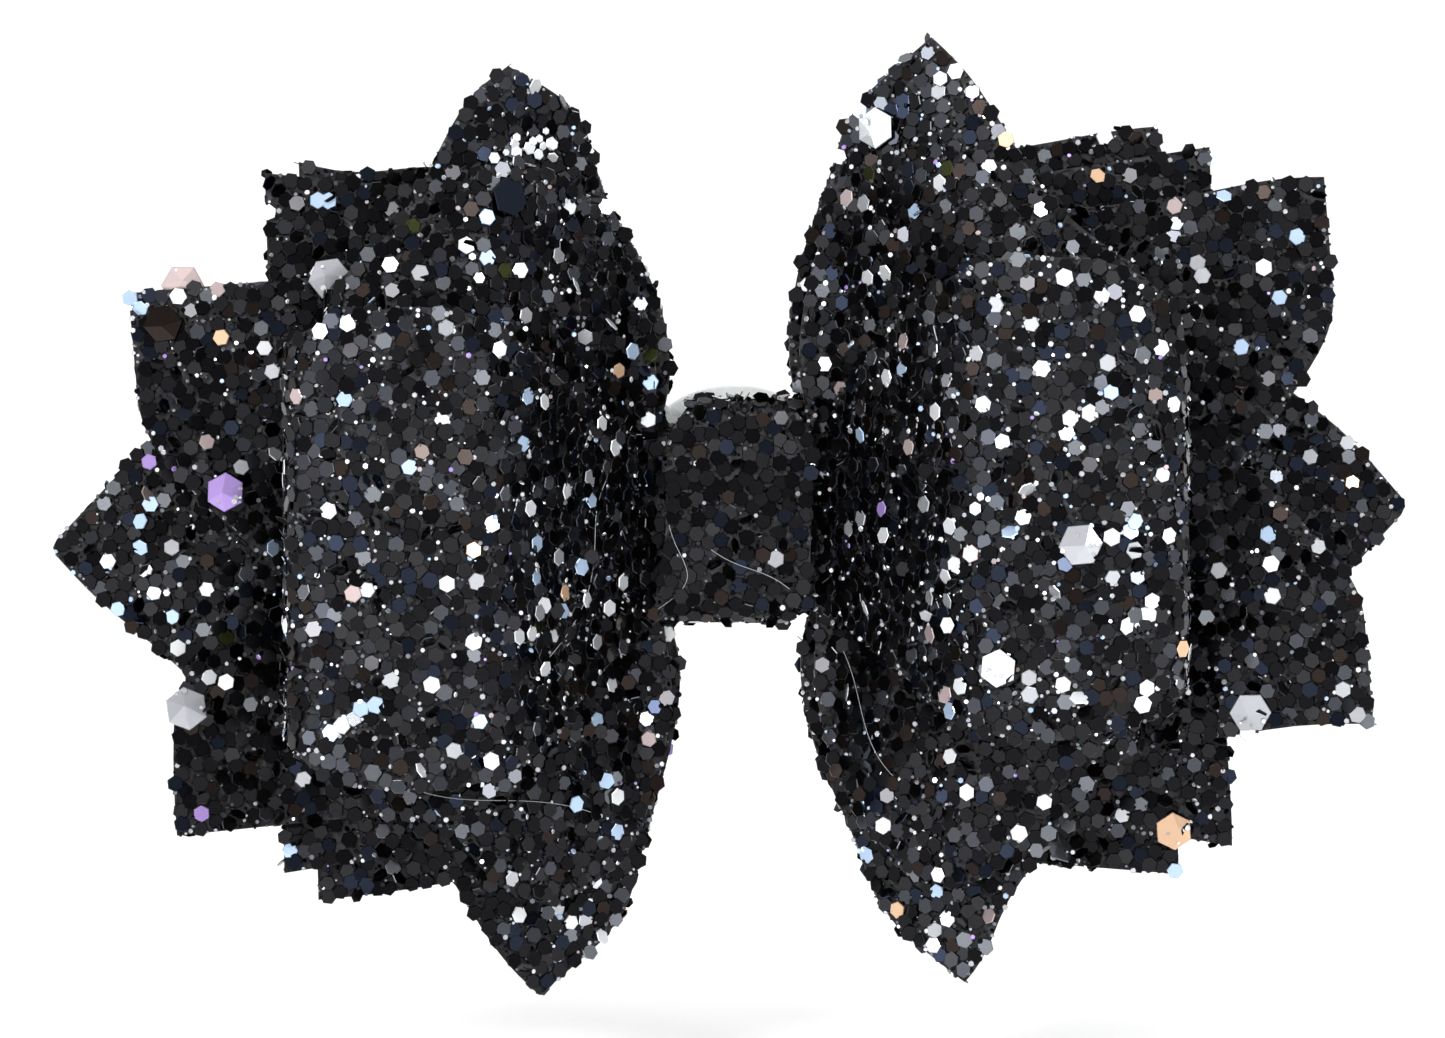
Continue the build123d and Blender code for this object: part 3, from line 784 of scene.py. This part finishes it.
def make_painted_glint_flakes(tree, materials):
    """Bright flakes on top of the others, singly or in broken patches, as painted highlights where
    the foil should catch the lamps.
    """
    rng = np.random.default_rng(11)
    places, normals, radii, kinds = [], [], [], []
    for x, z, kind, count in PAINTED_GLINT_FLAKES:
        alone = count == 1
        for _ in range(count):
            dx, dz = rng.normal(0, 0.05 if alone else PATCH_SPREAD, 2)
            rise, radius = rng.uniform(0.45, 0.60), rng.uniform(0.35, 0.75)
            hit, normal = front_hit(tree, x + dx, z + dz)
            if hit is None:
                continue
            places.append(hit + normal * rise * MM)
            normals.append(normal)
            radii.append((LONE_FLAKE_R if alone else radius) * MM)
            kinds.append(KIND_INDEX[kind])
    leaned, _angle = tilted(np.array(normals), math.radians(6), rng)
    mesh = hexagons(
        "painted_glint_flakes", np.array(places), leaned, np.array(radii), np.array(kinds),
        np.full(len(places), 0.08 * MM), rng,
    )
    add_piece("painted_glint_flakes", mesh, materials)


def make_glue_strings(tree):
    """Fine strings of glue that lie over the front."""
    mat, _tree, _shader = new_material(
        "glue_string", Base_Color=(0.30, 0.31, 0.32), Roughness=0.2, Coat_Weight=0.3
    )
    data = bpy.data.curves.new("glue_strings", "CURVE")
    data.dimensions = "3D"
    data.bevel_depth = 0.03 * MM
    data.bevel_resolution = 2
    for points in GLUE_STRINGS:
        found = [(x, z, front_hit(tree, x, z)[0]) for x, z in points]
        placed = [Vector((x * MM, hit.y - 0.55 * MM, z * MM)) for x, z, hit in found if hit]
        spline = data.splines.new("NURBS")
        spline.points.add(len(placed) - 1)
        for point, place in zip(spline.points, placed):
            point.co = (*place, 1.0)
        spline.order_u = 4
        spline.use_endpoint_u = True
        spline.resolution_u = 12
    data.materials.append(mat)
    strings = bpy.data.objects.new("glue_strings", data)
    bpy.context.scene.collection.objects.link(strings)
    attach(strings, BOW)


def make_sheets():
    side_materials = [glitter_base_material(), backing_material(), cut_edge_material()]
    foil = flake_materials()
    names = TAILS + LOOPS + ("centre_wrap",)
    meshes = {name: sheet_mesh(name) for name in names}
    whole = bmesh.new()
    for mesh in meshes.values():
        whole.from_mesh(mesh)
    for other in ("felt_patch", "binding_thread"):
        whole.from_mesh(NODES[other].data)
    tree = BVHTree.FromBMesh(whole)
    whole.free()
    for seed, (name, mesh) in enumerate(meshes.items()):
        area = solid_volume(name) / SHEET_T
        sheet = add_piece(name + "_sheet", mesh, side_materials)
        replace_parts(sheet, name)
        flakes = cover_with_flakes(name, mesh, tree, foil, 40 + seed)
    return foil, tree


# ---- the other soft pieces and the clip ----------------------------------------------------------
def smooth_copy(name, piece_name, material, longest=None, body=BOW):
    bm = open_solid(name)
    if longest:
        refine(bm, longest)
    for face in bm.faces:
        face.smooth = True
    for edge in bm.edges:
        edge.smooth = edge.calc_face_angle(0) < math.radians(40)
    mesh = bpy.data.meshes.new(piece_name)
    bm.to_mesh(mesh)
    bm.free()
    piece = add_piece(piece_name, mesh, [material], body)
    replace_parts(piece, name)
    return piece


def make_felt():
    felt = smooth_copy("felt_patch", "felt_disc", felt_material(), 0.9 * MM)


def make_ribbon():
    ribbon = smooth_copy("clip_ribbon", "grosgrain_ribbon", ribbon_material(), 1.0 * MM)
    solid_volume("clip_ribbon") / RIBBON_T


def ring_path(x, low, high, bend, steps):
    """Points of a rounded rectangle in the Y-Z plane, and the outward direction at each."""
    (y0, z0), (y1, z1) = low, high
    corners = [(y1 - bend, z1 - bend, 0), (y0 + bend, z1 - bend, 90)]
    corners += [(y0 + bend, z0 + bend, 180), (y1 - bend, z0 + bend, 270)]
    dense = []
    for cy, cz, start in corners:
        for k in range(9):
            t = math.radians(start + k * 11.25)
            dense.append((cy + bend * math.cos(t), cz + bend * math.sin(t)))
    dense = np.array(dense + dense[:1])
    run = np.concatenate([[0], np.cumsum(np.linalg.norm(np.diff(dense, axis=0), axis=1))])
    at = np.linspace(0, run[-1], steps, endpoint=False)
    ys, zs = np.interp(at, run, dense[:, 0]), np.interp(at, run, dense[:, 1])
    return np.stack([np.full(steps, x), ys, zs], axis=1), run[-1]


def closed_tube(bm, path, radius, sides=7):
    count = len(path)
    rings = []
    for i in range(count):
        along = Vector(path[(i + 1) % count]) - Vector(path[i - 1])
        along.normalize()
        across = along.cross(Vector((1, 0, 0))).normalized()
        third = along.cross(across)
        ring = []
        for k in range(sides):
            t = 2 * math.pi * k / sides
            way = across * math.cos(t) + third * math.sin(t)
            ring.append(bm.verts.new(Vector(path[i]) + radius * way))
        rings.append(ring)
    for i in range(count):
        a, b = rings[i], rings[(i + 1) % count]
        for k in range(sides):
            face = bm.faces.new((a[k], a[(k + 1) % sides], b[(k + 1) % sides], b[k]))
            face.smooth = True


def make_thread():
    """Seven turns of two-ply thread round the knot."""
    low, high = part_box("binding_thread")
    turns, wire = 7, 0.5 * MM
    bm = bmesh.new()
    for turn in range(turns):
        x = low[0] + wire / 2 + turn * (high[0] - low[0] - wire) / (turns - 1)
        ply = wire / 4
        corner_low = (low[1] + wire / 2, low[2] + wire / 2)
        corner_high = (high[1] - wire / 2, high[2] - wire / 2)
        path, length = ring_path(x, corner_low, corner_high, 0.45 * MM, 260)
        centre = np.array([x, (low[1] + high[1]) / 2, (low[2] + high[2]) / 2])
        twists = round(length / (1.3 * MM))
        phase = 2 * math.pi * twists * np.arange(len(path)) / len(path)
        outward = path - centre
        outward /= np.linalg.norm(outward, axis=1)[:, None]
        for ply_turn in (0, math.pi):
            offset = np.cos(phase + ply_turn)[:, None] * np.array([[1.0, 0, 0]])
            offset = offset + np.sin(phase + ply_turn)[:, None] * outward
            closed_tube(bm, path + ply * offset, ply)
    bmesh.ops.recalc_face_normals(bm, faces=bm.faces)
    mesh = bpy.data.meshes.new("plied_thread")
    bm.to_mesh(mesh)
    bm.free()
    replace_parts(add_piece("plied_thread", mesh, [thread_material()]), "binding_thread")


def make_clip():
    """The arms and pin keep their CAD solids; the spring is a smooth copy of its solid, attached to
    no body.
    """
    plated = metal_material("nickel_plate", (0.50, 0.495, 0.48), 0.24, 2.5)
    pin = metal_material("nickel_pin", (0.46, 0.455, 0.445), 0.20, 5.0)
    wire = metal_material("drawn_wire", (0.36, 0.36, 0.37), 0.28, 6.0)
    for name, material in (("clip_base", plated), ("clip_jaw", plated), ("pivot_pin", pin)):
        set_material(name, material)
    spring = smooth_copy("clip_spring", "spring_wire", wire, body=None)
    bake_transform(spring)


def set_material(name, material):
    for slot in NODES[name].material_slots:
        slot.material = material


def make_glue():
    glue = glue_material()
    for name in ("layer_glue", "wrap_glue", "felt_glue", "clip_glue"):
        set_material(name, glue)


# ---- stage and light -----------------------------------------------------------------------------
def make_stage():
    """A pale floor that sweeps up into a backdrop."""
    bm = bmesh.new()
    floor_z, wall_y, bend = -52 * MM, 0.9, 0.3
    profile = [(-1.2, floor_z)]
    for k in range(13):
        t = math.radians(-90 + k * 7.5)
        profile.append((wall_y - bend + bend * math.cos(t), floor_z + bend + bend * math.sin(t)))
    profile.append((wall_y, 1.2))
    rows = [[bm.verts.new((x, y, z)) for y, z in profile] for x in (-1.6, 1.6)]
    for i in range(len(profile) - 1):
        face = bm.faces.new((rows[0][i], rows[1][i], rows[1][i + 1], rows[0][i + 1]))
        face.smooth = True
    mesh = bpy.data.meshes.new("floor")
    bm.to_mesh(mesh)
    bm.free()
    mat, _tree, _shader = new_material("pale_floor", Roughness=0.9, Base_Color=(0.93, 0.93, 0.93))
    mesh.materials.append(mat)
    floor = bpy.data.objects.new("floor", mesh)
    bpy.context.scene.collection.objects.link(floor)


def area_light(name, place, size, watts, colour=(1, 1, 1)):
    data = bpy.data.lights.new(name, "AREA")
    data.shape = "DISK"
    data.size = size
    data.energy = watts
    data.color = colour
    light = bpy.data.objects.new(name, data)
    light.location = place
    light.rotation_euler = (-Vector(place)).to_track_quat("-Z", "Y").to_euler()
    bpy.context.scene.collection.objects.link(light)


def make_world():
    """A white room that is dimmer on the viewer's side, so that the black foil keeps its depth."""
    world = bpy.data.worlds.new("studio")
    world.use_nodes = True
    tree = world.node_tree
    coords = tree.nodes.new("ShaderNodeTexCoord")
    axes = tree.nodes.new("ShaderNodeSeparateXYZ")
    level = node(tree, "ShaderNodeMapRange", interpolation_type="SMOOTHSTEP")
    level.inputs["From Min"].default_value = -1.0
    level.inputs["From Max"].default_value = -0.1
    level.inputs["To Min"].default_value = 0.58
    level.inputs["To Max"].default_value = 0.95
    tree.links.new(coords.outputs["Generated"], axes.inputs[0])
    tree.links.new(axes.outputs["Y"], level.inputs["Value"])
    background = tree.nodes["Background"]
    background.inputs["Color"].default_value = (1, 1, 1, 1)
    tree.links.new(level.outputs["Result"], background.inputs["Strength"])
    bpy.context.scene.world = world


def make_lights():
    make_world()
    area_light("key", (-0.30, -0.80, 0.38), 0.24, 4.2, (1.0, 0.98, 0.95))
    area_light("fill", (0.45, -0.70, 0.20), 0.20, 2.6, (0.94, 0.97, 1.0))
    area_light("front", (0.22, -0.90, -0.20), 0.15, 1.6)
    area_light("left_panel", (-0.62, -0.62, 0.10), 0.5, 2.2, (0.92, 0.96, 1.0))
    area_light("top_panel", (0.10, -0.62, 0.68), 0.5, 2.2)
    area_light("rear", (0.25, 0.6, 0.45), 0.25, 0.9)
    bpy.context.scene.view_settings.view_transform = "Standard"


make_camera()
foil, sheet_tree = make_sheets()
make_large_flakes(sheet_tree, foil)
make_painted_glint_flakes(sheet_tree, foil)
make_glue_strings(sheet_tree)
make_felt()
make_ribbon()
make_thread()
make_glue()
make_clip()
make_stage()
make_lights()
